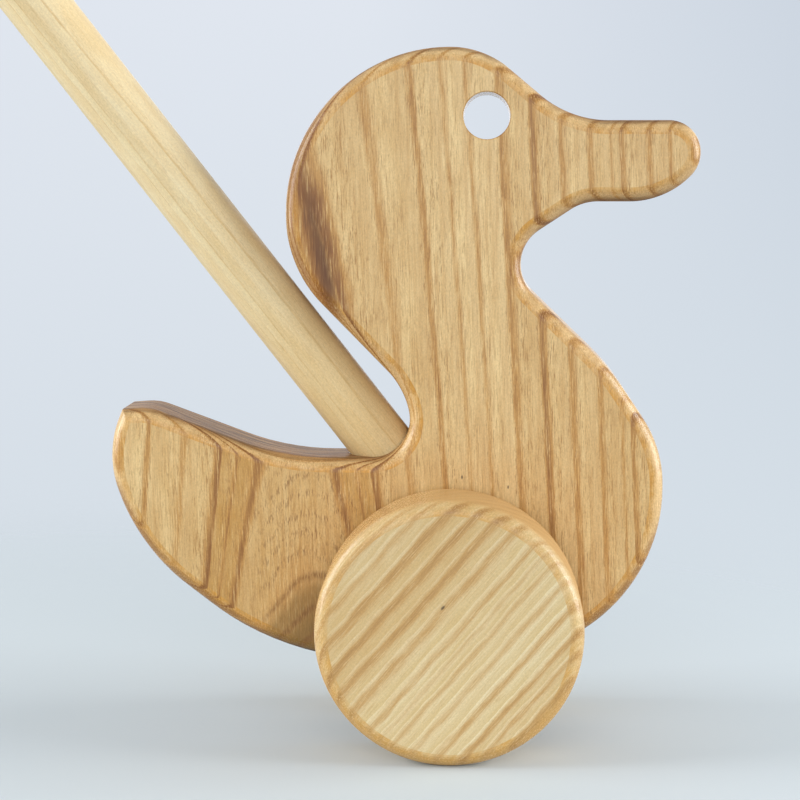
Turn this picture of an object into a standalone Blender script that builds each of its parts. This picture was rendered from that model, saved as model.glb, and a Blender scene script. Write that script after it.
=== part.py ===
"""A wooden duck push toy: a flat board duck on one pair of wheels, pushed along by a dowel handle.

Metres, +Z up. The duck looks along +X, its right side faces -Y, and the floor is Z = 0.
"""

from math import cos, pi, radians, sin, tan

import bmesh
import bpy
from mathutils import Matrix, Vector

# Duck board: levels are heights above the axle, reaches are distances ahead of it or behind it
BOARD_THICKNESS = 0.026
EDGE_ROUND = 0.004
BELLY_DROP = 0.0155
BREAST_DROP = 0.0102
BREAST_REACH = 0.0607
TAIL_REACH = 0.098
BACK_LEVEL = 0.0453
TAIL_RISE = 0.0143
HEAD_BACK_REACH = 0.0473
BEAK_REACH = 0.070
BEAK_UNDERSIDE_LEVEL = 0.1187
BEAK_DEPTH = 0.0228
BROW_RISE = 0.0205
HEAD_ROUND = 0.0465

# Eye, a hole drilled right through
EYE_DIAMETER = 0.0132
EYE_AHEAD = 0.0098
EYE_ABOVE_BEAK = 0.0012

# Wheels and the axle they are glued to
WHEEL_DIAMETER = 0.075
WHEEL_THICKNESS = 0.026
WHEEL_EDGE_ROUND = 0.004
WHEEL_SIDE_PLAY = 0.001
AXLE_DIAMETER = 0.010
AXLE_DEPTH_IN_WHEEL = 0.016
AXLE_CHAMFER = 0.0006

# Handle dowel in its slanted socket
HANDLE_DIAMETER = 0.018
HANDLE_LENGTH = 0.500
HANDLE_SLOPE = radians(52)
HANDLE_END_ROUND = 0.004
SOCKET_DEPTH = 0.030
SOCKET_BEHIND = 0.0183

# Clearances, measured on the radius or at an end
RUNNING_CLEARANCE = 0.0004
GLUE_CLEARANCE = 0.0003

# How finely the round shapes are divided
ARC_STEP = radians(7)
SHORTEST_EDGE = 0.0006
ROUND_STEPS = 3
WHEEL_SIDES = 64
ROD_SIDES = 32
SHARP_ANGLE = radians(35)
SAME_PLACE = 1e-6

WHEEL_RADIUS = WHEEL_DIAMETER / 2
BEAK_TOP_LEVEL = BEAK_UNDERSIDE_LEVEL + BEAK_DEPTH
HEAD_TOP_LEVEL = BEAK_TOP_LEVEL + BROW_RISE
WHEEL_OFFSET = BOARD_THICKNESS / 2 + WHEEL_SIDE_PLAY + WHEEL_THICKNESS / 2
AXLE_LENGTH = BOARD_THICKNESS + 2 * (WHEEL_SIDE_PLAY + AXLE_DEPTH_IN_WHEEL)

# Corners of the duck's outline as (ahead of the axle, above it, radius), clockwise seen from its right side
DUCK_CORNERS = (
    # tail tip, left sharp, crest of the tail, hollow of the back, and the corner where the neck rises from it
    (-TAIL_REACH + 0.0030, BACK_LEVEL + TAIL_RISE - 0.0006, 0.0),
    (-TAIL_REACH + 0.0108, BACK_LEVEL + TAIL_RISE, 0.015),
    (-0.0484, BACK_LEVEL, 0.075),
    (-0.0090, BACK_LEVEL, 0.011),
    (-0.0138, BACK_LEVEL + 0.0204, 0.024),
    # nape, crown and brow
    (-HEAD_BACK_REACH, 0.0999, 0.036),
    (-HEAD_BACK_REACH, HEAD_TOP_LEVEL, HEAD_ROUND),
    (0.0088, HEAD_TOP_LEVEL, 0.026),
    # beak from its root along the top, round the tip and back along the underside
    (0.0333, BEAK_TOP_LEVEL, 0.030),
    (BEAK_REACH, BEAK_TOP_LEVEL, 0.009),
    (BEAK_REACH, BEAK_UNDERSIDE_LEVEL + 0.0098, 0.009),
    (BEAK_REACH - 0.0101, BEAK_UNDERSIDE_LEVEL, 0.024),
    # chin and throat
    (0.0371, BEAK_UNDERSIDE_LEVEL, 0.014),
    (0.0128, BEAK_UNDERSIDE_LEVEL - 0.0160, 0.0115),
    # breast, belly and tail end
    (0.0451, 0.0715, 0.060),
    (BREAST_REACH, 0.0484, 0.035),
    (BREAST_REACH, -BREAST_DROP, 0.049),
    (-0.0464, -BELLY_DROP, 0.080),
    (-TAIL_REACH + 0.0076, 0.0181, 0.059),
    (-TAIL_REACH - 0.0022, BACK_LEVEL + 0.0005, 0.030),
)


def rounded_outline(corners):
    """Points round a polygon whose corners are arcs tangent to their sides, smaller where a side is short."""
    count = len(corners)
    spots = [Vector(corner[:2]) for corner in corners]
    sides = [spots[(index + 1) % count] - spots[index] for index in range(count)]
    turns = [sides[index - 1].angle_signed(sides[index]) for index in range(count)]
    setbacks = [corner[2] * tan(abs(turn) / 2) for corner, turn in zip(corners, turns)]
    room = [sides[index].length / (setbacks[index] + setbacks[(index + 1) % count]) for index in range(count)]
    points = []
    for index, turn in enumerate(turns):
        setback = setbacks[index] * min(1, room[index - 1], room[index])
        arrive = sides[index - 1].normalized()
        start = spots[index] - arrive * setback
        spoke = Vector((-arrive.y, arrive.x)) * setback / tan(turn / 2)
        steps = max(2, round(abs(turn) / ARC_STEP))
        for step in range(steps + 1):
            points.append(start - spoke + Matrix.Rotation(-turn * step / steps, 2) @ spoke)
    return [point for index, point in enumerate(points) if (point - points[index - 1]).length > SHORTEST_EDGE]


def wood(name, colour, roughness):
    material = bpy.data.materials.new(name)
    material.use_nodes = True
    shader = material.node_tree.nodes["Principled BSDF"]
    shader.inputs["Base Color"].default_value = (*colour, 1)
    shader.inputs["Roughness"].default_value = roughness
    shader.inputs["Metallic"].default_value = 0
    return material


def new_object(name, mesh_data, parent, material=None):
    """Adds a finished bmesh to the scene as a smooth-shaded object under its parent."""
    mesh = bpy.data.meshes.new(name)
    mesh_data.to_mesh(mesh)
    mesh_data.free()
    mesh.shade_smooth()
    mesh.set_sharp_from_angle(angle=SHARP_ANGLE)
    obj = bpy.data.objects.new(name, mesh)
    bpy.context.collection.objects.link(obj)
    obj.parent = parent
    if material:
        mesh.materials.append(material)
    return obj


def new_empty(name, location, parent=None):
    empty = bpy.data.objects.new(name, None)
    bpy.context.collection.objects.link(empty)
    empty.parent = parent
    empty.location = location
    return empty


def rod_mesh(diameter, length, sides):
    """A cylinder that starts at the origin and runs along +Z."""
    mesh_data = bmesh.new()
    bmesh.ops.create_cone(
        mesh_data,
        cap_ends=True,
        segments=sides,
        radius1=diameter / 2,
        radius2=diameter / 2,
        depth=length,
    )
    bmesh.ops.translate(mesh_data, verts=mesh_data.verts, vec=(0, 0, length / 2))
    return mesh_data


def round_edges(mesh_data, edges, radius, steps):
    bmesh.ops.bevel(
        mesh_data,
        geom=edges,
        offset=radius,
        offset_type="OFFSET",
        affect="EDGES",
        segments=steps,
        profile=0.5,
    )


def rim(mesh_data, level):
    """The edges of a rod's end at the given height."""
    return [edge for edge in mesh_data.edges if all(abs(v.co.z - level) < SAME_PLACE for v in edge.verts)]


def cut(obj, name, cutter_mesh, location, rotation):
    """Takes a rod-shaped hole out of an object; both are placed in the same parent's space."""
    cutter = new_object(name, cutter_mesh, obj.parent)
    cutter.location = location
    cutter.rotation_euler = rotation
    cutter.hide_render = True
    cutter.display_type = "WIRE"
    boolean = obj.modifiers.new(name, "BOOLEAN")
    boolean.operation = "DIFFERENCE"
    boolean.object = cutter


def make_duck_body(parent, material):
    """The board: the outline as a face, extruded through the thickness, with both rims rounded over."""
    mesh_data = bmesh.new()
    near = -BOARD_THICKNESS / 2
    corners = [mesh_data.verts.new((x, near, z)) for x, z in rounded_outline(DUCK_CORNERS)]
    face = mesh_data.faces.new(corners)
    extruded = bmesh.ops.extrude_face_region(mesh_data, geom=[face], use_keep_orig=True)
    moved = [item for item in extruded["geom"] if isinstance(item, bmesh.types.BMVert)]
    bmesh.ops.translate(mesh_data, verts=moved, vec=(0, BOARD_THICKNESS, 0))
    bmesh.ops.recalc_face_normals(mesh_data, faces=mesh_data.faces)
    rims = [edge for edge in mesh_data.edges if abs(edge.verts[0].co.y - edge.verts[1].co.y) < SAME_PLACE]
    round_edges(mesh_data, rims, EDGE_ROUND, ROUND_STEPS)
    body = new_object("duck_body", mesh_data, parent, material)

    across = 2 * BOARD_THICKNESS
    sideways = (-pi / 2, 0, 0)
    eye_level = BEAK_TOP_LEVEL + EYE_ABOVE_BEAK
    cut(
        body,
        "eye_drill",
        rod_mesh(EYE_DIAMETER, across, ROD_SIDES),
        (EYE_AHEAD, -across / 2, eye_level),
        sideways,
    )
    cut(
        body,
        "axle_drill",
        rod_mesh(AXLE_DIAMETER + 2 * RUNNING_CLEARANCE, across, ROD_SIDES),
        (0, -across / 2, 0),
        sideways,
    )
    cut(
        body,
        "socket_drill",
        rod_mesh(HANDLE_DIAMETER + 2 * GLUE_CLEARANCE, SOCKET_DEPTH + HANDLE_DIAMETER, ROD_SIDES),
        socket_floor() - handle_direction() * GLUE_CLEARANCE,
        handle_rotation(),
    )
    return body


def handle_direction():
    return Vector((-cos(HANDLE_SLOPE), 0, sin(HANDLE_SLOPE)))


def handle_rotation():
    return (0, HANDLE_SLOPE - pi / 2, 0)


def socket_floor():
    """Where the handle's lower end stands, SOCKET_DEPTH under the back along the handle."""
    return Vector((-SOCKET_BEHIND, 0, BACK_LEVEL)) - handle_direction() * SOCKET_DEPTH


def handle_rear_reach():
    """How far behind the axle the handle's rounded upper end reaches."""
    straight = (HANDLE_LENGTH - SOCKET_DEPTH - HANDLE_END_ROUND) * cos(HANDLE_SLOPE)
    flat_rim = (HANDLE_DIAMETER / 2 - HANDLE_END_ROUND) * sin(HANDLE_SLOPE)
    return SOCKET_BEHIND + straight + flat_rim + HANDLE_END_ROUND


def make_push_handle(parent, material):
    """The dowel, square at the socket's floor and rounded over at the hand's end."""
    mesh_data = rod_mesh(HANDLE_DIAMETER, HANDLE_LENGTH, ROD_SIDES)
    round_edges(mesh_data, rim(mesh_data, HANDLE_LENGTH), HANDLE_END_ROUND, ROUND_STEPS)
    handle = new_object("push_handle", mesh_data, parent, material)
    handle.location = socket_floor()
    handle.rotation_euler = handle_rotation()
    return handle


def make_axle(parent, material):
    """The axle dowel, its origin in the middle of its length."""
    mesh_data = rod_mesh(AXLE_DIAMETER, AXLE_LENGTH, ROD_SIDES)
    round_edges(mesh_data, rim(mesh_data, 0) + rim(mesh_data, AXLE_LENGTH), AXLE_CHAMFER, 1)
    bmesh.ops.translate(mesh_data, verts=mesh_data.verts, vec=(0, 0, -AXLE_LENGTH / 2))
    axle = new_object("axle", mesh_data, parent, material)
    axle.rotation_euler = (pi / 2, 0, 0)
    return axle


def make_wheel(name, side, parent, material):
    """A disc with rounded rims and a blind hole for the axle; side is -1 on the right and 1 on the left."""
    mesh_data = rod_mesh(WHEEL_DIAMETER, WHEEL_THICKNESS, WHEEL_SIDES)
    rims = rim(mesh_data, 0) + rim(mesh_data, WHEEL_THICKNESS)
    round_edges(mesh_data, rims, WHEEL_EDGE_ROUND, ROUND_STEPS)
    bmesh.ops.translate(mesh_data, verts=mesh_data.verts, vec=(0, 0, -WHEEL_THICKNESS / 2))
    wheel = new_object(name, mesh_data, parent, material)
    outward = (-side * pi / 2, 0, 0)
    wheel.location = (0, side * WHEEL_OFFSET, 0)
    wheel.rotation_euler = outward
    hole_end = AXLE_LENGTH / 2 + GLUE_CLEARANCE
    cut(
        wheel,
        name + "_drill",
        rod_mesh(AXLE_DIAMETER + 2 * GLUE_CLEARANCE, hole_end, ROD_SIDES),
        (0, 0, 0),
        outward,
    )
    return wheel


for old in list(bpy.data.objects):
    bpy.data.objects.remove(old)

axle_ahead = (handle_rear_reach() - BEAK_REACH) / 2
toy = new_empty("toy", (axle_ahead, 0, WHEEL_RADIUS))
wheelset_axis = new_empty("wheelset_axis", (0, 0, 0), toy)

make_duck_body(toy, wood("ash_board", (0.52, 0.30, 0.13), 0.45))
make_push_handle(toy, wood("birch_dowel", (0.74, 0.52, 0.27), 0.45))
make_axle(wheelset_axis, wood("beech_dowel", (0.60, 0.40, 0.22), 0.5))
for wheel_name, wheel_side in (("right_wheel", -1), ("left_wheel", 1)):
    make_wheel(wheel_name, wheel_side, wheelset_axis, wood(wheel_name + "_ash", (0.66, 0.43, 0.19), 0.45))
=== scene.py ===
from math import cos, hypot, pi, radians, sin, tan

import bmesh
import bpy
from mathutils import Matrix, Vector


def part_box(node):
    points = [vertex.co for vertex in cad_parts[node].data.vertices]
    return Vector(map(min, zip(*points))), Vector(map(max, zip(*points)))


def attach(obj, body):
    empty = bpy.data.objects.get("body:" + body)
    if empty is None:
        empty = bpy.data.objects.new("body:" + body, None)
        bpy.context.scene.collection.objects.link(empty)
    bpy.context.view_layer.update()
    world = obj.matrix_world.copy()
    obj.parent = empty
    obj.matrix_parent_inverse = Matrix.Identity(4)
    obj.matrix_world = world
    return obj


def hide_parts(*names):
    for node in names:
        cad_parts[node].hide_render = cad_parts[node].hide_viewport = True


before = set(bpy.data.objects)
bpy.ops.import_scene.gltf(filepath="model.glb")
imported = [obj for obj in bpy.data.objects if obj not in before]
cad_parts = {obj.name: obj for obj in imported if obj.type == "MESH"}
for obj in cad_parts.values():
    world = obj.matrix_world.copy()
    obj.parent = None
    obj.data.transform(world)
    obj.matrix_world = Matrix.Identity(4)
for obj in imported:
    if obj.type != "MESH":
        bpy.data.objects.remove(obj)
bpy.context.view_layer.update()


# DUCK BOARD
# The duck is one piece of ash board with its grain upright. It is sawn to the outline, its rims are rounded
# over with a router, and it is drilled for the eye, the axle and the slanted socket, then sanded and oiled.

wheel_low, wheel_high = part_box("right_wheel")
AXLE = Vector(((wheel_low.x + wheel_high.x) / 2, 0, (wheel_low.z + wheel_high.z) / 2))
ACROSS_BOARD = Vector((0, 1, 0))
BOARD_THICKNESS = 0.026
RIM_ROUND = 0.004
RIM_STEPS = 10
EASING_STEPS = 2
FACE_MARGIN = 0.0018
SMOOTH_ANGLE = radians(25)
ARC_STEP = radians(3)
SAME_PLACE = 0.00002
FLAT_NORMAL = 0.9999

# Corners of the outline and the radius that rounds each: mm ahead of the axle, mm above it, mm
DUCK_CORNERS = (
    (-95.0, 59.0, 0.0), (-87.2, 59.6, 15.0), (-48.4, 45.3, 75.0), (-9.0, 45.3, 11.0), (-13.8, 65.7, 24.0),
    (-47.3, 99.9, 36.0), (-47.3, 162.0, 46.5), (8.8, 162.0, 26.0), (33.3, 141.5, 30.0),
    (70.0, 141.5, 9.0), (70.0, 128.5, 9.0), (59.9, 118.7, 24.0), (37.1, 118.7, 14.0),
    (12.8, 102.7, 11.5), (45.1, 71.5, 60.0), (60.7, 48.4, 35.0), (60.7, -10.2, 49.0),
    (-46.4, -15.5, 80.0), (-90.4, 18.1, 59.0), (-100.2, 45.8, 30.0),
)
OUTLINE_MERGE = 0.0002

# The tail ends in a sharp tip, where the two rims meet in a mitre
TAIL_TIP = 0
TIP_EASING = 0.0003
TIP_REACH = 0.0074
TIP_MERGE = 0.0012
MITRE_REACH = RIM_ROUND * 1.3
MOST_STRIP_CORNERS = 40

EYE_DIAMETER = 0.0132
EYE_PLACE = AXLE + Vector((0.0098, 0, 0.1427))
EYE_SIDES = 64
EYE_RIM_ROUND = 0.0003
EYE_TOLERANCE = 0.0001
BORE_DIAMETER = 0.0108
BORE_SIDES = 48
DRILL_REACH = 0.03
SOCKET_DIAMETER = 0.0186
SOCKET_DEPTH = 0.0303
SOCKET_SIDES = 64
SOCKET_DRILL_SHOWS = 0.018
HANDLE_SLOPE = radians(52)
HANDLE_RISE = Vector((-cos(HANDLE_SLOPE), 0, sin(HANDLE_SLOPE)))
HANDLE_ENTRY = AXLE + Vector((-0.0183, 0, 0.0453))


def select_only(kind, wanted):
    """In edit mode, selects just the vertices, edges or faces that pass the test."""
    bpy.ops.mesh.select_mode(type={"verts": "VERT", "edges": "EDGE", "faces": "FACE"}[kind])
    bpy.ops.mesh.select_all(action="DESELECT")
    mesh = bpy.context.edit_object.data
    shape = bmesh.from_edit_mesh(mesh)
    for item in getattr(shape, kind):
        item.select_set(wanted(item))
    bmesh.update_edit_mesh(mesh)


def level_at(edge, axis, place):
    """Whether both ends of an edge lie at this place along an axis."""
    return all(abs(vert.co[axis] - place) < SAME_PLACE for vert in edge.verts)


def start_piece(name):
    """Names the new primitive and puts its place into its mesh."""
    piece = bpy.context.object
    piece.name = piece.data.name = name
    bpy.ops.object.transform_apply(location=True, rotation=True, scale=True)
    return piece


def drill(piece, diameter, depth, foot, direction, sides):
    """Bores a hole from foot along direction."""
    bpy.ops.object.select_all(action="DESELECT")
    bpy.ops.mesh.primitive_cylinder_add(
        vertices=sides,
        radius=diameter / 2,
        depth=depth,
        location=foot + direction * depth / 2,
        rotation=direction.to_track_quat("Z", "Y").to_euler(),
    )
    bit = start_piece("drill")
    bpy.context.view_layer.objects.active = piece
    bpy.ops.object.modifier_add(type="BOOLEAN")
    piece.modifiers[-1].object = bit
    bpy.ops.object.modifier_apply(modifier=piece.modifiers[-1].name)
    bpy.data.meshes.remove(bit.data)


# The outline starts as a flat shape with a vertex for each corner, which is moved to its place and rounded
corners = [AXLE + Vector((ahead, 0, above)) / 1000 for ahead, above, radius in DUCK_CORNERS]
for corner in corners:
    corner.y = -BOARD_THICKNESS / 2
bpy.ops.object.select_all(action="DESELECT")
bpy.ops.mesh.primitive_circle_add(
    vertices=len(corners),
    radius=BOARD_THICKNESS,
    fill_type="NGON",
    location=(AXLE.x, -BOARD_THICKNESS / 2, AXLE.z),
    rotation=(pi / 2, 0, 0),
)
duck = start_piece("duck_board")
bpy.ops.object.mode_set(mode="EDIT")
for index, corner in enumerate(corners):
    select_only("verts", lambda vert: vert.index == index)
    bpy.ops.transform.translate(value=corner - duck.data.vertices[index].co)
for index, corner in enumerate(corners):
    if index == TAIL_TIP:
        continue
    arriving = corner - corners[index - 1]
    leaving = corners[(index + 1) % len(corners)] - corner
    turn = arriving.angle(leaving)
    select_only("verts", lambda vert: (vert.co - corner).length < SAME_PLACE)
    bpy.ops.mesh.bevel(
        affect="VERTICES",
        offset=DUCK_CORNERS[index][2] / 1000 * tan(turn / 2),
        segments=round(turn / ARC_STEP),
        profile=(1 - 1 / (4 * cos(turn / 4) ** 2)) ** 2,
        clamp_overlap=False,
    )
bpy.ops.mesh.select_all(action="SELECT")
bpy.ops.mesh.remove_doubles(threshold=OUTLINE_MERGE)
bpy.ops.mesh.extrude_region_move(TRANSFORM_OT_translate={"value": (0, BOARD_THICKNESS, 0)})
bpy.ops.mesh.select_all(action="SELECT")
bpy.ops.mesh.normals_make_consistent(inside=False)
tip = corners[TAIL_TIP]


def on_face_by_tip(vert):
    """Whether a vertex is on a broad face of the board, close to the tail's tip."""
    by_tip = (vert.co - tip).xz.length < TIP_REACH
    return by_tip and any(len(face.verts) > MOST_STRIP_CORNERS for face in vert.link_faces)


for face_side in (-1, 1):
    select_only("edges", lambda edge: level_at(edge, 1, face_side * BOARD_THICKNESS / 2))
    bpy.ops.mesh.bevel(offset=RIM_ROUND, segments=RIM_STEPS, clamp_overlap=False)
    select_only("faces", lambda face: face.normal.y * face_side > FLAT_NORMAL)
    bpy.ops.mesh.inset(thickness=FACE_MARGIN)
    select_only("verts", on_face_by_tip)
    bpy.ops.mesh.remove_doubles(threshold=TIP_MERGE)

into_tail = (corners[TAIL_TIP - 1] - tip).normalized() + (corners[TAIL_TIP + 1] - tip).normalized()
off_mitre = into_tail.cross(ACROSS_BOARD).normalized()


def on_tip_mitre(edge):
    """Whether an edge lies along the mitre of the rims at the tail's tip."""
    reach = [vert.co - tip for vert in edge.verts]
    on_plane = all(abs(far.dot(off_mitre)) < SAME_PLACE for far in reach)
    on_rim = all(hypot(far.x, far.z) < MITRE_REACH for far in reach)
    return on_plane and on_rim


select_only("edges", on_tip_mitre)
bpy.ops.mesh.bevel(offset=TIP_EASING, segments=EASING_STEPS, clamp_overlap=False)
bpy.ops.object.mode_set(mode="OBJECT")

through = ACROSS_BOARD * DRILL_REACH
socket_foot = HANDLE_ENTRY - HANDLE_RISE * SOCKET_DEPTH
drill(duck, EYE_DIAMETER, 2 * DRILL_REACH, EYE_PLACE - through, ACROSS_BOARD, EYE_SIDES)
drill(duck, BORE_DIAMETER, 2 * DRILL_REACH, AXLE - through, ACROSS_BOARD, BORE_SIDES)
drill(duck, SOCKET_DIAMETER, SOCKET_DEPTH + SOCKET_DRILL_SHOWS, socket_foot, HANDLE_RISE, SOCKET_SIDES)


def on_eye_rim(edge):
    """Whether an edge is where the eye's hole comes out of a face."""
    at_face = level_at(edge, 1, -BOARD_THICKNESS / 2) or level_at(edge, 1, BOARD_THICKNESS / 2)
    reach = [hypot(vert.co.x - EYE_PLACE.x, vert.co.z - EYE_PLACE.z) for vert in edge.verts]
    return at_face and all(abs(far - EYE_DIAMETER / 2) < EYE_TOLERANCE for far in reach)


bpy.ops.object.mode_set(mode="EDIT")
select_only("edges", on_eye_rim)
bpy.ops.mesh.bevel(offset=EYE_RIM_ROUND, segments=EASING_STEPS, clamp_overlap=False)
bpy.ops.object.mode_set(mode="OBJECT")
bpy.ops.object.shade_smooth_by_angle(angle=SMOOTH_ANGLE)


def display(red, green, blue):
    """A colour as it shows on a screen, 0 to 255, turned into the shader's linear values."""
    shares = [level / 255 for level in (red, green, blue)]
    linear = [share / 12.92 if share < 0.0405 else ((share + 0.055) / 1.055) ** 2.4 for share in shares]
    return (*linear, 1)


def node_adder(material):
    """A function that adds nodes to a material: sets them up, feeds their inputs, gives their outputs."""
    tree = material.node_tree

    def add(kind, feeds, **settings):
        node = tree.nodes.new("ShaderNode" + kind)
        for setting, value in settings.items():
            setattr(node, setting, value)
        for socket, feed in feeds.items():
            if isinstance(feed, bpy.types.NodeSocket):
                tree.links.new(feed, node.inputs[socket])
            else:
                node.inputs[socket].default_value = feed
        return node.outputs

    return add


# Sizes in mm in the wood: the rings before the first and after the last that are listed, how far up the
# darker colour of the foot reaches, and the rings cut lengthways over the heart, which show as arches
MILLIMETRE = 0.001
HEART_RING_WIDTH = 4
LAST_RING_WIDTH = 5
FOOT_REACH = 95.0
ARCH_ROUND = 6.0
ARCH_FULL = 12.0
ARCH_END = 20.0
ARCH_WAVER = 4.0

# Shares and slopes in the wood
HEART_LINE = (0.2, 0.3, 0, 1)
RING_BODY = (0.1, 0.85)
GRAIN_SLANT = 0.025
ARCH_SLOPE = 1.25
FLECK_BANDS = 1.1
RELIEF = 0.0002
SPECULAR = 0.32
COAT_ROUGHNESS = 0.18


class RingWood:
    """An oiled wood with growth rings. Places in it are in mm from a centre, as across, depth and height,
    turned about Y so that the grain runs up. Each step adds its nodes, and leaves the colour in self.colour."""

    def __init__(self, name, centre, turn, face_depth, colours, amounts):
        self.material = bpy.data.materials.new(name)
        self.material.use_nodes = True
        self.add = node_adder(self.material)
        self.face_depth = face_depth
        self.colours = colours
        self.amounts = amounts
        self.along = (sin(turn), 0, cos(turn))
        coordinates = self.add("TexCoord", {})
        self.normal = coordinates["Normal"]
        feeds = {"Vector": coordinates["Object"], "Location": centre}
        feeds |= {"Rotation": (0, turn, 0), "Scale": (MILLIMETRE,) * 3}
        self.place = self.add("Mapping", feeds, vector_type="TEXTURE")[0]
        self.across, self.depth, self.height = self.add("SeparateXYZ", {0: self.place})[:3]

    def math(self, operation, first, second=0.0, third=0.0):
        return self.add("Math", {0: first, 1: second, 2: third}, operation=operation)[0]

    def times(self, first, *others):
        for other in others:
            first = self.math("MULTIPLY", first, other)
        return first

    def fit(self, value, low, high, to_low=0.0, to_high=1.0, kind="SMOOTHSTEP"):
        """Brings a value from the range low to high to another range."""
        feeds = {"Value": value, "From Min": low, "From Max": high, "To Min": to_low, "To Max": to_high}
        return self.add("MapRange", feeds, interpolation_type=kind, clamp=True)[0]

    def between(self, value, low, high, fade_in, fade_out):
        """1 where a value is between low and high, with a soft start and end inside that range."""
        return self.times(self.fit(value, low, low + fade_in), self.fit(value, high, high - fade_out))

    def noise(self, place, stretch, detail, seed):
        spot = self.add("Mapping", {"Vector": place, "Location": (seed,) * 3, "Scale": stretch})[0]
        return self.add("TexNoise", {"Vector": spot, "Scale": 1.0, "Detail": detail, "Roughness": 0.6})[0]

    def far_from(self, across, height, squeeze=1.0):
        """How far a point is from a spot on the face, with heights squeezed."""
        aside = self.math("ADD", self.across, -across)
        above = self.times(self.math("ADD", self.height, -height), squeeze)
        reach = self.add("CombineXYZ", {0: aside, 2: above})[0]
        return self.add("VectorMath", {0: reach}, operation="LENGTH")["Value"]

    def blend(self, share, base, top, kind="MIX"):
        return self.add("MixRGB", {0: share, 1: base, 2: top}, blend_type=kind)[0]

    def tint(self, share, colour_name):
        """Takes the wood's colour this share of the way to one of its named colours."""
        self.colour = self.blend(share, self.colour, self.colours[colour_name])

    def lay_rings(self, pith, lean, taper, rings):
        """Growth rings round a pith at (across, depth), which leans and tapers with height. Each ring is (how
        far out it starts, darkness of its first wood, share of it that is dark, depth of its own colour)."""
        ripple = (0.18, 0.18, self.amounts["ripple"])
        slow_waver = self.math("ADD", self.noise(self.place, (0.035, 0.035, 0.012), 1.0, 0.0), -0.5)
        self.quick_waver = self.math("ADD", self.noise(self.place, ripple, 2.0, 5.0), -0.5)
        aside = self.math("ADD", self.math("MULTIPLY_ADD", self.height, lean, self.across), -pith[0])
        behind = self.math("ADD", self.depth, -pith[1])
        radius = self.math("SQRT", self.math("MULTIPLY_ADD", aside, aside, self.times(behind, behind)))
        out = self.math("MULTIPLY_ADD", self.height, taper, radius)
        out = self.math("MULTIPLY_ADD", slow_waver, self.amounts["slow_waver"], out)
        out = self.math("MULTIPLY_ADD", self.quick_waver, self.amounts["quick_waver"], out)

        # How many rings out a point is: each ring adds its share, from 0 where it starts to 1 where it ends
        starts = [ring[0] for ring in rings]
        starts = [starts[0] - HEART_RING_WIDTH, *starts, starts[-1] + LAST_RING_WIDTH]
        rings_out = 0.0
        for start, end in zip(starts, starts[1:]):
            rings_out = self.math("ADD", rings_out, self.fit(out, start, end, kind="LINEAR"))
        turnings = self.math("ADD", rings_out, self.amounts["lead"])
        self.ring_share = self.math("FRACT", turnings)

        # A ramp holds the darkness and dark share of each ring's line, and a curve its depth of colour
        count = len(rings) + 1
        ring_middle = self.math("ADD", self.math("FLOOR", turnings), 0.5)
        table = self.add("ValToRGB", {0: self.math("DIVIDE", ring_middle, count)})[0]
        ramp = table.node.color_ramp
        ramp.interpolation = "CONSTANT"
        lines = [HEART_LINE, *((ring[1], ring[2], 0, 1) for ring in rings)]
        for index in range(2, count):
            ramp.elements.new(index / count)
        for index, line in enumerate(lines):
            ramp.elements[index].position = index / count
            ramp.elements[index].color = line
        self.line_dark, self.line_share = self.add("SeparateColor", {0: table})[:2]

        depths = [self.amounts["heart_depth"], *(ring[3] for ring in rings)]
        curve = self.add("FloatCurve", {"Value": self.math("DIVIDE", rings_out, count)})[0].node
        points = curve.mapping.curves[0].points
        points[0].location = (0, depths[0])
        points[1].location = (1, depths[-1])
        for index, ring_depth in enumerate(depths):
            for part in RING_BODY:
                points.new((index + part) / count, ring_depth)
        for point in points:
            point.handle_type = "VECTOR"
        curve.mapping.update()
        self.ring_depth = curve.outputs[0]

    def lay_grain(self):
        """Fine noises drawn out along the grain, and the line of porous first wood that opens each ring: a
        core with a ragged edge, and fibres that feather out of it."""
        slanted = self.math("MULTIPLY_ADD", self.height, GRAIN_SLANT, self.across)
        self.fibre_place = self.add("CombineXYZ", {0: slanted, 1: self.depth, 2: self.height})[0]
        self.fibre = self.noise(self.fibre_place, (3.2, 3.2, 0.15), 3.0, 3.0)
        self.short_fibre = self.noise(self.fibre_place, (3.2, 3.2, 0.5), 1.0, 61.0)
        self.mottle = self.noise(self.fibre_place, (0.22, 0.22, 0.06), 3.0, 17.0)
        self.speck = self.noise(self.place, (2.6, 2.6, 1.6), 1.0, 41.0)

        lead = self.amounts["lead"]
        ragged = self.amounts["ragged"]
        late_grain = self.amounts["late_grain"]
        self.porous = self.fit(self.ring_share, 0.30 + lead, 0.85 + lead / 2, 1.0, late_grain)
        rise = self.fit(self.ring_share, 0.0, lead)
        core_end = self.math("ADD", self.line_share, lead)
        core = self.times(rise, self.fit(self.ring_share, lead, core_end, 1.0, 0.0))
        core = self.times(core, self.fit(self.fibre, 0.32, 0.65, 1.15, 1 - ragged, "LINEAR"))
        feather_end = self.math("MULTIPLY_ADD", self.line_share, 2.5, lead)
        feather = self.times(self.fit(self.ring_share, lead, feather_end, 1.0, 0.0), rise)
        feather = self.times(feather, self.fit(self.fibre, 0.50, 0.34, 0.0, ragged))
        line = self.times(self.math("MAXIMUM", core, feather), self.line_dark)
        self.line = self.times(line, self.fit(self.mottle, 0.3, 0.7, 0.85, 1.1))

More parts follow.
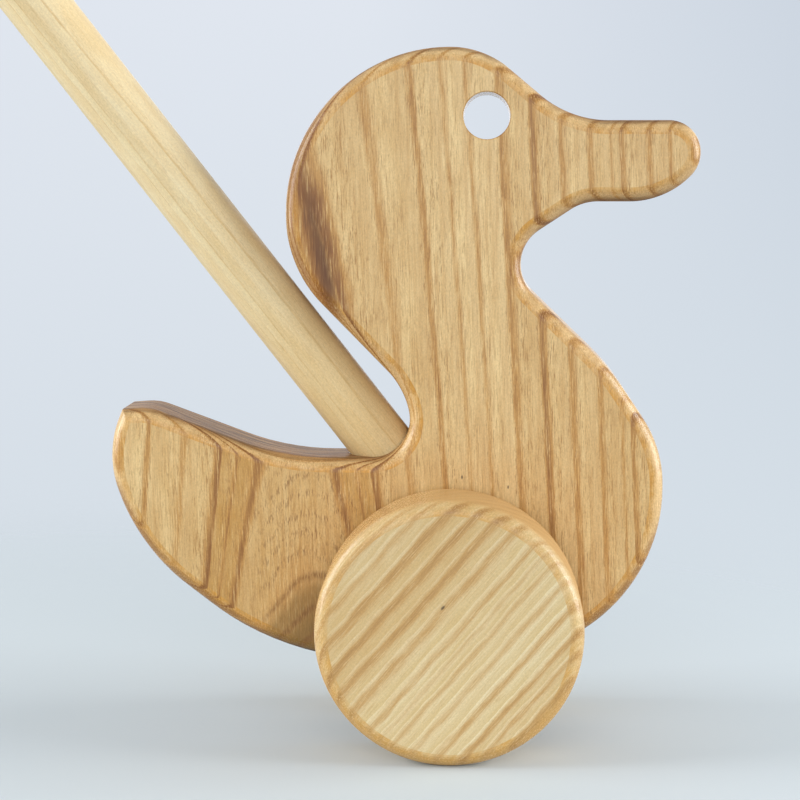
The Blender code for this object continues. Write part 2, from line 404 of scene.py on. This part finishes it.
    def colour_rings(self):
        """The ground: pale and tan patches, cream early wood and duller late wood, warm streaks and clouds,
        and each ring's own depth of colour. A piece with a foot goes deeper towards it."""
        streak = self.noise(self.fibre_place, (0.95, 0.95, 0.03), 2.0, 11.0)
        cloud = self.noise(self.place, (0.03, 0.03, 0.014), 2.0, 23.0)
        lead = self.amounts["lead"]
        self.colour = self.colours["pale"]
        self.tint(self.fit(self.mottle, 0.34, 0.66), "tan")
        self.tint(self.fit(self.ring_share, lead + 0.12, lead + 0.60, self.amounts["fresh"], 0.0), "cream")
        self.tint(self.fit(self.ring_share, 0.5, 0.95, 0.0, self.amounts["late"]), "late")
        self.tint(self.fit(streak, 0.42, 0.68, 0.0, self.amounts["streak"]), "warm")
        self.tint(self.fit(cloud, 0.40, 0.68, 0.0, 0.35), "warm")
        self.tint(self.times(self.ring_depth, self.fit(self.mottle, 0.3, 0.7, 0.75, 1.1)), "deep")
        if "foot" in self.amounts:
            self.tint(self.fit(self.height, 0.0, FOOT_REACH, self.amounts["foot"], 0.0), "deep")

    def oil_rims_and_paint_under_shade(self):
        """Routed rims drink more oil, and so does the line where a rim runs out into the face. Rims that
        face down also get painted shade, darkest low down near the floor."""
        self.normal_across, normal_depth, normal_up = self.add("SeparateXYZ", {0: self.normal})[:3]
        self.tilt = self.math("ARCCOSINE", self.math("MINIMUM", self.math("ABSOLUTE", normal_depth), 1.0))
        self.wander = self.noise(self.place, (0.16, 0.16, 0.16), 3.0, 29.0)
        self.rim = self.fit(self.tilt, 0.03, 0.35, 0.0, self.amounts["rim"])
        # Painted shade: rims that face down are coloured darker, most of all low on the piece near the floor
        painted_under_shade = self.fit(normal_up, -0.05, -0.3)
        painted_under_shade = self.times(painted_under_shade, self.fit(self.height, 70.0, 30.0, 0.45, 1.0))
        darker = self.math("MAXIMUM", self.fit(self.wander, 0.46, 0.62, 0.0, 0.55), painted_under_shade)
        # The rim's colour: darker where the oil wanders at random, and darker again under the rim as painted
        # shade
        oiled = self.blend(darker, self.colours["rim"], self.colours["rim_dark_and_under_shade"])
        rim_wash_and_under_shade = self.math("MULTIPLY_ADD", self.rim, painted_under_shade, self.rim)
        self.colour = self.blend(rim_wash_and_under_shade, self.colour, oiled)
        self.tint(self.fit(self.tilt, 0.8, 1.5, 0.0, self.amounts["rim_side"]), "rim_side")
        run_out = self.fit(self.times(self.tilt, self.fit(self.wander, 0.3, 0.7, 0.3, 2.0)), 0.004, 0.036)
        run_out = self.times(run_out, self.fit(self.tilt, 0.08, 0.65, self.amounts["run_out"], 0.0))
        self.tint(self.times(run_out, self.fit(self.wander, 0.35, 0.65, 0.35, 1.1)), "run_out")

    def draw_lines(self):
        """The rings' lines, stronger on a rim, then fibres and pores, and a fine speckle over all."""
        line = self.times(self.line, self.fit(self.tilt, 0.01, 0.2, 1.0, 1.35))
        line = self.times(line, self.fit(self.tilt, 0.7, 1.4, 1.0, self.amounts["side_line"]))
        self.tint(self.fit(line, 0.0, 0.6, 0.0, self.amounts["line"], "LINEAR"), "line")
        self.tint(self.fit(line, 0.6, 1.3, 0.0, self.amounts["line"], "LINEAR"), "dark_line")
        fibre_share = self.times(self.porous, self.amounts["fibre"])
        self.tint(self.times(self.fit(self.fibre, 0.50, 0.30), fibre_share), "pore")
        self.tint(self.times(self.fit(self.fibre, 0.54, 0.72), fibre_share), "cream")
        dash = self.noise(self.fibre_place, (4.2, 4.2, 0.34), 2.0, 37.0)
        pore_share = self.times(self.porous, self.fit(self.line_dark, 0.45, 1.0, 0.7, 1.3))
        self.pores = self.times(self.fit(dash, 0.54, 0.68), pore_share)
        self.tint(self.times(self.pores, self.amounts["pore"]), "pore")
        speckle = self.fit(self.speck, 0.25, 0.75, 0.91, 1.09, "LINEAR")
        self.colour = self.blend(1.0, self.colour, speckle, "MULTIPLY")

    def over_heart(self, apex_across, strength):
        """The level of the arch that a point is on, and how much it counts: less further from the heart."""
        beside = self.math("ADD", self.across, -apex_across)
        beside = self.math("SQRT", self.math("MULTIPLY_ADD", beside, beside, ARCH_ROUND ** 2))
        level = self.math("MULTIPLY_ADD", beside, ARCH_SLOPE, self.height)
        level = self.math("ADD", level, -ARCH_ROUND * ARCH_SLOPE)
        level = self.math("MULTIPLY_ADD", self.quick_waver, ARCH_WAVER, level)
        return level, self.fit(beside, ARCH_FULL, ARCH_END, strength, 0.0)

    def lay_arch(self, apex_across, low, high, strength):
        """A ring that arches over the heart: a line of short fibres at its high level, brown wood below."""
        level, near = self.over_heart(apex_across, strength)
        browned = self.fit(level, high + 0.5, low, 0.0, 0.7)
        browned = self.times(browned, self.fit(self.short_fibre, 0.3, 0.7, 1.15, 0.8))
        self.tint(self.times(browned, near), "heart")
        share = self.fit(self.math("ABSOLUTE", self.math("ADD", level, -high)), 0.1, 2.1, 0.62, 0.0)
        share = self.times(share, near, self.fit(self.short_fibre, 0.35, 0.65, 1.3, 0.4))
        self.tint(share, "arch")

    def lay_flecks(self, apex_across, low, high, strength):
        """Short dark fibres over the heart, in bands."""
        level, near = self.over_heart(apex_across, strength)
        bands = self.fit(self.math("SINE", self.times(level, FLECK_BANDS)), -0.4, 0.8, 0.3, 1.0)
        flecks = self.times(self.fit(self.short_fibre, 0.50, 0.68), bands)
        self.tint(self.times(flecks, self.between(level, low, high, 6, 12), near), "fleck")

    def lay_rim_stain(self, low, high, strength):
        """A stretch of the back rim that has gone brown."""
        share = self.fit(self.normal_across, -0.15, -0.55)
        share = self.times(share, self.between(self.height, low, high, 18, 18))
        share = self.times(share, self.fit(self.wander, 0.35, 0.65, strength, strength * 0.6))
        self.tint(share, "rim_stain")

    def lay_streak(self, colour_name, foot, slant, half, low, high, strength):
        """A stain that slants up the near face for part of its height, with frayed sides."""
        spread = self.math("MULTIPLY_ADD", self.height, -slant, self.across)
        spread = self.math("ABSOLUTE", self.math("ADD", spread, -foot))
        spread = self.math("MULTIPLY_ADD", self.math("ADD", self.fibre, -0.5), half * 2.2, spread)
        share = self.times(
            self.fit(spread, half * 0.1, half * 1.3, 1.0, 0.0),
            self.between(self.height, low, high, 20, 30),
            self.fit(self.depth, self.face_depth + 3, self.face_depth + 11, 1.0, 0.0),
            self.fit(self.mottle, 0.3, 0.65, strength, strength * 0.8),
        )
        self.tint(share, colour_name)

    def lay_pin(self, across, height, size):
        """A pin mark in the near face, a little longer along the grain."""
        spot = self.fit(self.far_from(across, height, squeeze=0.5), size * 0.3, size, 0.8, 0.0)
        on_face = self.fit(self.depth, self.face_depth + 0.5, self.face_depth + 1.5, 1.0, 0.0)
        self.tint(self.times(spot, on_face), "pin")

    def finish(self):
        """End grain drinks the most oil and goes darkest, but not in the eye's hole. Pores lie a little deeper
        than fibres, rims are smoother, and end grain is duller."""
        end_on = self.add("VectorMath", {0: self.normal, 1: self.along}, operation="DOT_PRODUCT")["Value"]
        end_on = self.fit(self.math("ABSOLUTE", end_on), 0.55, 0.95)
        if "eye" in self.amounts:
            eye_across, eye_height, eye_reach = self.amounts["eye"]
            off_eye = self.fit(self.far_from(eye_across, eye_height), eye_reach, eye_reach + 1)
            end_on = self.times(end_on, off_eye)
        end_streak = self.fit(self.noise(self.place, (0.05, 1.0, 0.05), 3.0, 53.0), 0.40, 0.60)
        end_shade = self.blend(end_streak, self.colours["end"], self.colours["end_pale"])
        end_share = self.times(end_on, self.amounts["end_grain"])
        self.colour = self.blend(end_share, self.colour, end_shade, "MULTIPLY")

        relief = self.math("MULTIPLY_ADD", self.fibre, 0.6, self.times(self.speck, 0.4))
        relief = self.math("MULTIPLY_ADD", self.pores, -0.8, relief)
        bump = self.add("Bump", {"Strength": self.amounts["bump"], "Distance": RELIEF, "Height": relief})[0]
        rough = self.amounts["rough"]
        rough = self.fit(self.speck, 0.3, 0.7, rough - 0.05, rough + 0.06)
        rough = self.math("MULTIPLY_ADD", self.pores, 0.12, rough)
        rough = self.math("MULTIPLY_ADD", self.rim, -0.3, rough)
        rough = self.math("MULTIPLY_ADD", end_on, 0.50, rough)

        shader = self.material.node_tree.nodes["Principled BSDF"]
        links = self.material.node_tree.links
        links.new(self.colour, shader.inputs["Base Color"])
        links.new(rough, shader.inputs["Roughness"])
        links.new(bump, shader.inputs["Normal"])
        shader.inputs["Specular IOR Level"].default_value = SPECULAR
        shader.inputs["Coat Weight"].default_value = self.amounts["coat"]
        shader.inputs["Coat Roughness"].default_value = COAT_ROUGHNESS
        return self.material


def ring_wood(name, centre, turn, pith, lean, taper, face_depth, rings, colours, marks, amounts):
    """The finished material of one piece of wood."""
    wood = RingWood(name, centre, turn, face_depth, colours, amounts)
    wood.lay_rings(pith, lean, taper, rings)
    wood.lay_grain()
    wood.colour_rings()
    wood.oil_rims_and_paint_under_shade()
    wood.draw_lines()
    for lay_mark, spot in marks:
        lay_mark(wood, *spot)
    return wood.finish()


BOARD_PITH = (-44.4, 86.8)
BOARD_LEAN = 0.0088
BOARD_TAPER = 0.0292
BOARD_FACE = -13.0

# The board's growth rings, from the pith out: where each starts in mm, darkness, dark share, depth of colour
BOARD_RINGS = (
    (72.0, 0.60, 0.24, 0.36), (75.6, 0.70, 0.26, 0.26), (80.1, 0.60, 0.22, 0.22),
    (83.4, 0.85, 0.26, 0.36), (88.0, 0.60, 0.22, 0.28), (91.6, 0.75, 0.24, 0.40),
    (96.0, 1.05, 0.36, 0.60), (99.9, 0.45, 0.40, 0.44), (101.6, 1.20, 0.44, 0.78),
    (102.5, 1.00, 0.26, 0.76), (103.4, 1.30, 0.28, 0.24), (106.2, 0.60, 0.20, 0.24),
    (109.9, 0.85, 0.18, 0.10), (113.0, 0.52, 0.20, 0.02), (115.8, 0.58, 0.20, 0.00),
    (120.0, 0.85, 0.34, 0.20), (124.7, 1.15, 0.34, 0.12), (129.4, 0.75, 0.32, 0.08),
    (134.4, 0.70, 0.36, 0.18), (138.4, 0.55, 0.40, 0.26), (140.2, 0.95, 0.30, 0.12),
    (145.7, 0.75, 0.30, 0.12), (149.9, 0.70, 0.24, 0.12), (154.5, 0.70, 0.24, 0.12),
    (158.7, 0.60, 0.24, 0.12),
)
BOARD_COLOURS = {
    "cream": display(239, 214, 160),
    "pale": display(227, 198, 142),
    "tan": display(214, 181, 124),
    "late": display(217, 187, 135),
    "warm": display(203, 164, 107),
    "deep": display(182, 134, 58),
    "line": display(188, 140, 74),
    "dark_line": display(124, 76, 32),
    "pore": display(150, 104, 52),
    "stain": display(76, 36, 0),
    "ember": display(150, 92, 24),
    "heart": display(130, 100, 49),
    "arch": display(126, 86, 42),
    "fleck": display(124, 84, 42),
    "rim_stain": display(136, 92, 56),
    "pin": display(70, 52, 38),
    "rim": display(229, 195, 144),
    # This rim colour serves both the rim's random darker patches and the painted shade under down-facing rims
    "rim_dark_and_under_shade": display(140, 95, 46),
    "rim_side": display(196, 150, 90),
    "run_out": display(202, 148, 64),
    "end": (0.28, 0.22, 0.165, 1),
    "end_pale": (0.64, 0.53, 0.42, 1),
}

# How strongly each trait of the wood shows. Wavers are in mm, and the eye is (across, height, reach) in mm
BOARD_AMOUNTS = {
    "slow_waver": 0.3,
    "quick_waver": 0.16,
    "ripple": 0.06,
    "lead": 0.17,
    "ragged": 0.34,
    "line": 0.90,
    "side_line": 1.0,
    "heart_depth": 0.2,
    "fresh": 0.35,
    "late": 0.6,
    "late_grain": 0.5,
    "streak": 0.55,
    "fibre": 0.42,
    "pore": 0.55,
    "rim": 0.40,
    "rim_side": 0.25,
    "run_out": 0.95,
    "end_grain": 0.95,
    "bump": 0.2,
    "rough": 0.36,
    "coat": 0.14,
    "eye": (9.8, 142.7, 6.9),
}

# The board's own marks: arches and flecks over the heart in the tail, the dark streak and brown rim at the
# back of the head, and two pin marks above the wheel
BOARD_MARKS = (
    (RingWood.lay_arch, (-39.0, 5.0, 11.6, 0.95)),
    (RingWood.lay_arch, (-37.0, -4.0, 2.4, 1.1)),
    (RingWood.lay_arch, (-36.0, -12.0, -5.5, 1.1)),
    (RingWood.lay_flecks, (-41.0, 13.0, 54.0, 0.66)),
    (RingWood.lay_rim_stain, (78.0, 156.0, 0.6)),
    (RingWood.lay_streak, ("ember", -15.6, -0.22, 4.2, 76, 140, 0.9)),
    (RingWood.lay_streak, ("stain", -14.4, -0.22, 3.0, 80, 138, 0.9)),
    (RingWood.lay_pin, (3.2, 40.2, 0.40)),
    (RingWood.lay_pin, (16.4, 37.4, 0.36)),
)
duck.data.materials.append(
    ring_wood(
        "oiled_ash_board",
        centre=AXLE,
        turn=0.0,
        pith=BOARD_PITH,
        lean=BOARD_LEAN,
        taper=BOARD_TAPER,
        face_depth=BOARD_FACE,
        rings=BOARD_RINGS,
        colours=BOARD_COLOURS,
        marks=BOARD_MARKS,
        amounts=BOARD_AMOUNTS,
    )
)
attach(duck, "duck")
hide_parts("duck_body")


# PUSH HANDLE
# A birch dowel, bought round and cut to length. Its top end is rounded over for the hand, and its bottom end
# is glued into the socket in the duck's back.

HANDLE_DIAMETER = 0.018
HANDLE_LENGTH = 0.49995
HANDLE_SIDES = 96
HANDLE_SEATED = 0.03
HANDLE_FOOT = HANDLE_ENTRY - HANDLE_RISE * HANDLE_SEATED
HANDLE_LEAN = HANDLE_SLOPE - pi / 2
HANDLE_END_ROUND = 0.004
HANDLE_END_STEPS = 8
HANDLE_FOOT_CHAMFER = 0.0008

bpy.ops.object.select_all(action="DESELECT")
bpy.ops.mesh.primitive_cylinder_add(
    vertices=HANDLE_SIDES,
    radius=HANDLE_DIAMETER / 2,
    depth=HANDLE_LENGTH,
    location=(0, 0, HANDLE_LENGTH / 2),
)
handle = start_piece("push_handle_dowel")
bpy.ops.object.mode_set(mode="EDIT")
select_only("edges", lambda edge: level_at(edge, 2, HANDLE_LENGTH))
bpy.ops.mesh.bevel(offset=HANDLE_END_ROUND, segments=HANDLE_END_STEPS, clamp_overlap=False)
select_only("edges", lambda edge: level_at(edge, 2, 0))
bpy.ops.mesh.bevel(offset=HANDLE_FOOT_CHAMFER, segments=EASING_STEPS, clamp_overlap=False)
select_only("faces", lambda face: abs(face.normal.z) > FLAT_NORMAL)
bpy.ops.mesh.inset(thickness=FACE_MARGIN, use_individual=True)
bpy.ops.object.mode_set(mode="OBJECT")
bpy.ops.object.shade_smooth_by_angle(angle=SMOOTH_ANGLE)
handle.rotation_euler = (0, HANDLE_LEAN, 0)
handle.location = HANDLE_FOOT
bpy.ops.object.transform_apply(location=True, rotation=True, scale=True)

# A dowel is cut well away from the pith, so its rings are nearly straight. Darkness and depth of colour
# repeat after a few rings, in lists of different lengths, so that no two neighbours look alike
DOWEL_PITH = (-40.0, 30.0)
DOWEL_LEAN = 0.002
DOWEL_TAPER = 0.004
HANDLE_FACE = -9.0
HANDLE_FIRST_RING = 32.0
HANDLE_RING_WIDTH = 2.2
HANDLE_RING_COUNT = 16
HANDLE_DARK_SHARE = 0.14
HANDLE_RING_DARKNESS = (0.50, 0.24, 0.62, 0.3, 0.4)
HANDLE_RING_DEPTHS = (0.2, 0.04, 0.28, 0.1)
HANDLE_RINGS = tuple(
    (
        HANDLE_FIRST_RING + HANDLE_RING_WIDTH * index,
        HANDLE_RING_DARKNESS[index % len(HANDLE_RING_DARKNESS)],
        HANDLE_DARK_SHARE,
        HANDLE_RING_DEPTHS[index % len(HANDLE_RING_DEPTHS)],
    )
    for index in range(HANDLE_RING_COUNT)
)
HANDLE_COLOURS = {
    "cream": display(246, 231, 192),
    "pale": display(240, 224, 182),
    "tan": display(235, 214, 168),
    "late": display(236, 217, 171),
    "warm": display(228, 203, 151),
    "deep": display(214, 180, 120),
    "line": display(208, 171, 108),
    "dark_line": display(170, 127, 74),
    "pore": display(186, 146, 92),
    "rim": display(224, 194, 132),
    "rim_dark_and_under_shade": display(214, 180, 116),
    "rim_side": display(224, 194, 132),
    "run_out": display(224, 194, 132),
    "end": (0.66, 0.58, 0.48, 1),
    "end_pale": (0.80, 0.72, 0.62, 1),
}
HANDLE_AMOUNTS = {
    "slow_waver": 1.6,
    "quick_waver": 0.5,
    "ripple": 0.03,
    "lead": 0.12,
    "ragged": 0.5,
    "line": 0.48,
    "side_line": 1.0,
    "heart_depth": 0.2,
    "fresh": 0.2,
    "late": 0.35,
    "late_grain": 0.6,
    "streak": 0.30,
    "fibre": 0.14,
    "pore": 0.25,
    "foot": 0.48,
    "rim": 0.0,
    "rim_side": 0.0,
    "run_out": 0.0,
    "end_grain": 0.8,
    "bump": 0.1,
    "rough": 0.42,
    "coat": 0.03,
}
handle.data.materials.append(
    ring_wood(
        "sealed_birch_dowel",
        centre=HANDLE_ENTRY,
        turn=HANDLE_LEAN,
        pith=DOWEL_PITH,
        lean=DOWEL_LEAN,
        taper=DOWEL_TAPER,
        face_depth=HANDLE_FACE,
        rings=HANDLE_RINGS,
        colours=HANDLE_COLOURS,
        marks=(),
        amounts=HANDLE_AMOUNTS,
    )
)
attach(handle, "duck")
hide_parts("push_handle")


# AXLE
# A beech dowel with chamfered ends. It turns in the duck's bore, and both wheels are glued to it. Its wood
# is close-grained like the handle's, and a little redder.

AXLE_DIAMETER = 0.010
AXLE_LENGTH = 0.060
AXLE_SIDES = 64
AXLE_CHAMFER = 0.0006

bpy.ops.object.select_all(action="DESELECT")
bpy.ops.mesh.primitive_cylinder_add(
    vertices=AXLE_SIDES,
    radius=AXLE_DIAMETER / 2,
    depth=AXLE_LENGTH,
    location=AXLE,
    rotation=(pi / 2, 0, 0),
)
axle = start_piece("axle_dowel")
bpy.ops.object.mode_set(mode="EDIT")
for end in (-AXLE_LENGTH / 2, AXLE_LENGTH / 2):
    select_only("edges", lambda edge: level_at(edge, 1, end))
    bpy.ops.mesh.bevel(offset=AXLE_CHAMFER, segments=EASING_STEPS, clamp_overlap=False)
bpy.ops.object.mode_set(mode="OBJECT")
bpy.ops.object.shade_smooth_by_angle(angle=SMOOTH_ANGLE)

AXLE_FACE = -5.0
AXLE_FIRST_RING = 40.0
AXLE_RING_WIDTH = 1.6
AXLE_RING_COUNT = 10
AXLE_RING_LOOK = (0.4, 0.4, 0.2)
AXLE_RINGS = tuple(
    (AXLE_FIRST_RING + AXLE_RING_WIDTH * index, *AXLE_RING_LOOK) for index in range(AXLE_RING_COUNT)
)
AXLE_COLOURS = dict(
    HANDLE_COLOURS,
    pale=display(214, 180, 132),
    tan=display(200, 162, 112),
    warm=display(196, 152, 104),
)
axle.data.materials.append(
    ring_wood(
        "beech_axle_dowel",
        centre=AXLE,
        turn=0.0,
        pith=DOWEL_PITH,
        lean=DOWEL_LEAN,
        taper=DOWEL_TAPER,
        face_depth=AXLE_FACE,
        rings=AXLE_RINGS,
        colours=AXLE_COLOURS,
        marks=(),
        amounts=HANDLE_AMOUNTS,
    )
)
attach(axle, "wheelset")
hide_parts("axle")


# WHEELS
# Two discs sawn from ash board, rounded over on both rims like the duck and sanded. Each has a blind hole in
# its inner face, and is glued on to the axle with its grain at its own slant.

WHEEL_DIAMETER = 0.075
WHEEL_THICKNESS = 0.026
WHEEL_OFFSET = 0.027
WHEEL_SIDES = 160
WHEEL_HOLE_DIAMETER = 0.0106
WHEEL_HOLE_END = 0.0303
WHEEL_HOLE_SIDES = 48

WHEEL_PITH_ACROSS = -150.0
WHEEL_PITH_DEPTH = 100.0
WHEEL_TAPER = 0.004
WHEEL_FACE = 40.0
WHEEL_RINGS = (
    (160.5, 0.60, 0.40, 0.10), (164.5, 0.80, 0.45, 0.20), (169.0, 0.50, 0.40, 0.05),
    (173.5, 0.85, 0.50, 0.20), (178.0, 0.70, 0.50, 0.30), (182.1, 0.50, 0.45, 0.30),
    (185.2, 0.60, 0.35, 0.36), (188.8, 1.00, 0.55, 0.36), (193.1, 1.05, 0.50, 0.40),
    (196.8, 0.95, 0.50, 0.20), (200.7, 0.75, 0.40, 0.00), (206.1, 0.60, 0.30, 0.00),
    (208.7, 0.40, 0.40, 0.02), (211.4, 0.55, 0.30, 0.00), (215.6, 0.50, 0.30, 0.02),
    (220.3, 0.70, 0.30, 0.04), (224.6, 0.90, 0.45, 0.26), (227.6, 0.70, 0.45, 0.26),
    (230.7, 0.85, 0.45, 0.30), (234.5, 0.60, 0.40, 0.20),
)
WHEEL_COLOURS = dict(
    BOARD_COLOURS,
    cream=display(236, 223, 184),
    pale=display(211, 192, 149),
    tan=display(208, 186, 137),
    late=display(216, 192, 140),
    warm=display(205, 175, 120),
    deep=display(194, 156, 96),
    line=display(191, 151, 92),
    dark_line=display(158, 116, 64),
    pore=display(184, 144, 84),
    rim=display(208, 174, 116),
    # This rim colour serves both the rim's random darker patches and the painted shade under down-facing rims
    rim_dark_and_under_shade=display(192, 146, 76),
    rim_side=display(208, 168, 110),
    run_out=display(204, 156, 80),
)
WHEEL_AMOUNTS = dict(
    BOARD_AMOUNTS,
    slow_waver=1.4,
    quick_waver=1.3,
    ripple=0.09,
    lead=0.34,
    ragged=0.38,
    line=0.88,
    side_line=0.3,
    fresh=0.65,
    late=0.4,
    streak=0.3,
    fibre=0.22,
    pore=0.2,
    rim=0.42,
    rim_side=0.95,
    run_out=0.85,
    end_grain=0.15,
)
del WHEEL_AMOUNTS["eye"]
RIGHT_WHEEL_MARKS = ((RingWood.lay_pin, (-6.5, 4.9, 0.55)),)

for wheel_name, side, grain_turn, marks in (
    ("right_wheel", -1, radians(41.5), RIGHT_WHEEL_MARKS),
    ("left_wheel", 1, radians(-24), ()),
):
    outward = ACROSS_BOARD * side
    bpy.ops.object.select_all(action="DESELECT")
    bpy.ops.mesh.primitive_cylinder_add(
        vertices=WHEEL_SIDES,
        radius=WHEEL_DIAMETER / 2,
        depth=WHEEL_THICKNESS,
        location=AXLE + outward * WHEEL_OFFSET,
        rotation=(pi / 2, 0, 0),
    )
    wheel = start_piece(wheel_name + "_disc")
    bpy.ops.object.mode_set(mode="EDIT")
    for end in (-1, 1):
        face_place = side * WHEEL_OFFSET + end * WHEEL_THICKNESS / 2
        select_only("edges", lambda edge: level_at(edge, 1, face_place))
        bpy.ops.mesh.bevel(offset=RIM_ROUND, segments=RIM_STEPS, clamp_overlap=False)
    select_only("faces", lambda face: abs(face.normal.y) > FLAT_NORMAL)
    bpy.ops.mesh.inset(thickness=FACE_MARGIN, use_individual=True)
    bpy.ops.object.mode_set(mode="OBJECT")
    drill(wheel, WHEEL_HOLE_DIAMETER, WHEEL_HOLE_END, AXLE, outward, WHEEL_HOLE_SIDES)
    bpy.ops.object.shade_smooth_by_angle(angle=SMOOTH_ANGLE)
    wheel.data.materials.append(
        ring_wood(
            "oiled_ash_" + wheel_name,
            centre=AXLE,
            turn=grain_turn,
            pith=(WHEEL_PITH_ACROSS, -side * WHEEL_PITH_DEPTH),
            lean=0.0,
            taper=WHEEL_TAPER,
            face_depth=side * WHEEL_FACE,
            rings=WHEEL_RINGS,
            colours=WHEEL_COLOURS,
            marks=marks,
            amounts=WHEEL_AMOUNTS,
        )
    )
    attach(wheel, "wheelset")
    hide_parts(wheel_name)


# FLOOR
# A wide round sheet of matt pale paper under the toy. It is full in the middle, and melts into the colour of
# the backdrop towards its edge.

FLOOR_REACH = 0.5
FLOOR_SIDES = 128
FLOOR_CLEAR = 0.1
FLOOR_MELTED = FLOOR_REACH * 0.95
PAPER_COLOUR = display(209, 219, 225)
PAPER_ROUGHNESS = 0.9
PAPER_SPECULAR = 0.1

bpy.ops.object.select_all(action="DESELECT")
bpy.ops.mesh.primitive_circle_add(vertices=FLOOR_SIDES, radius=FLOOR_REACH, fill_type="NGON")
floor = start_piece("floor")
paper = bpy.data.materials.new("pale_paper")
paper.use_nodes = True
add = node_adder(paper)
shader = paper.node_tree.nodes["Principled BSDF"]
shader.inputs["Base Color"].default_value = PAPER_COLOUR
shader.inputs["Roughness"].default_value = PAPER_ROUGHNESS
shader.inputs["Specular IOR Level"].default_value = PAPER_SPECULAR
coordinates = add("TexCoord", {})
far = add("VectorMath", {0: coordinates["Object"]}, operation="LENGTH")["Value"]
melt = add(
    "MapRange",
    {"Value": far, "From Min": FLOOR_CLEAR, "From Max": FLOOR_MELTED},
    interpolation_type="SMOOTHERSTEP",
)[0]
mixed = add("MixShader", {0: melt, 1: shader.outputs[0], 2: add("BsdfTransparent", {})[0]})[0]
paper.node_tree.links.new(mixed, paper.node_tree.nodes["Material Output"].inputs["Surface"])
floor.data.materials.append(paper)


# STUDIO LIGHT
# Two soft boxes stand to the left and right, nearly in line with the board. A larger, weaker one stands in
# front and another behind, and the pale room round them fills in, less so from below. The backdrop that the
# camera sees is a little darker at the top right.

LAMP_AIM = Vector((0.10, 0, 0.10))

for lamp_name, place, size, watts in (
    ("left_box", (-1.60, -0.20, 0.55), (0.9, 1.3), 27.0),
    ("right_box", (1.30, -0.05, 0.38), (0.8, 0.8), 14.5),
    ("front_box", (0.10, -1.80, 0.55), (2.2, 1.3), 18.4),
    ("back_box", (0.10, 1.80, 0.65), (2.2, 1.3), 8.0),
):
    bpy.ops.object.light_add(type="AREA", location=place)
    lamp = bpy.context.object
    lamp.name = lamp_name
    lamp.data.shape = "RECTANGLE"
    lamp.data.size, lamp.data.size_y = size
    lamp.data.energy = watts
    lamp.rotation_euler = (LAMP_AIM - Vector(place)).to_track_quat("-Z", "Y").to_euler()

ROOM_LIGHT = (0.97, 0.985, 1.0, 1)
ROOM_LEVEL = 0.42
ROOM_BELOW = 0.12
BACKDROP_TOP_LEFT = display(224, 230, 239)
BACKDROP_TOP_RIGHT = display(205, 214, 225)
BACKDROP_LOW_LEFT = display(209, 219, 227)
BACKDROP_LOW_RIGHT = display(216, 226, 233)

room = bpy.data.worlds.new("pale_room")
bpy.context.scene.world = room
room.use_nodes = True
add = node_adder(room)
lighting = room.node_tree.nodes["Background"]
lighting.inputs["Color"].default_value = ROOM_LIGHT
looking = add("SeparateXYZ", {0: add("TexCoord", {})["Generated"]})
level = add(
    "MapRange",
    {"Value": looking[2], "From Min": -0.3, "From Max": 0.1, "To Min": ROOM_BELOW, "To Max": ROOM_LEVEL},
)[0]
room.node_tree.links.new(level, lighting.inputs["Strength"])
sideways = add("MapRange", {"Value": looking[0], "From Min": -0.06, "From Max": 0.16})[0]
upward = add("MapRange", {"Value": looking[2], "From Min": -0.30, "From Max": 0.08})[0]
top = add("MixRGB", {0: sideways, 1: BACKDROP_TOP_LEFT, 2: BACKDROP_TOP_RIGHT})[0]
low = add("MixRGB", {0: sideways, 1: BACKDROP_LOW_LEFT, 2: BACKDROP_LOW_RIGHT})[0]
backdrop = add("MixRGB", {0: upward, 1: low, 2: top})[0]
seen = add("Background", {"Color": backdrop, "Strength": 1.0})[0]
rays = add("LightPath", {})
direct = add("Math", {0: rays["Is Camera Ray"], 1: rays["Is Glossy Ray"]}, operation="MAXIMUM")[0]
direct = add("Math", {0: direct, 1: rays["Is Transmission Ray"]}, operation="MAXIMUM")[0]
mixed = add("MixShader", {0: direct, 1: lighting.outputs[0], 2: seen})[0]
room.node_tree.links.new(mixed, room.node_tree.nodes["World Output"].inputs["Surface"])
bpy.context.scene.view_settings.view_transform = "Standard"


# CAMERA
# It stands level with the duck's head, a little to the front of the axle, and looks slightly down and back.
# A long lens keeps the outline nearly free of perspective.

CAMERA_FROM_AXLE = Vector((0.009698, -0.579149, 0.126402))
CAMERA_PITCH = radians(83.55)
CAMERA_HEADING = radians(2.454)
CAMERA_LENS = 89.95
CAMERA_SENSOR = 36.0
CAMERA_NEAREST = 0.01

bpy.ops.object.camera_add(location=AXLE + CAMERA_FROM_AXLE, rotation=(CAMERA_PITCH, 0, CAMERA_HEADING))
camera = bpy.context.object
camera.name = "camera"
camera.data.sensor_width = CAMERA_SENSOR
camera.data.lens = CAMERA_LENS
camera.data.clip_start = CAMERA_NEAREST
bpy.context.scene.camera = camera
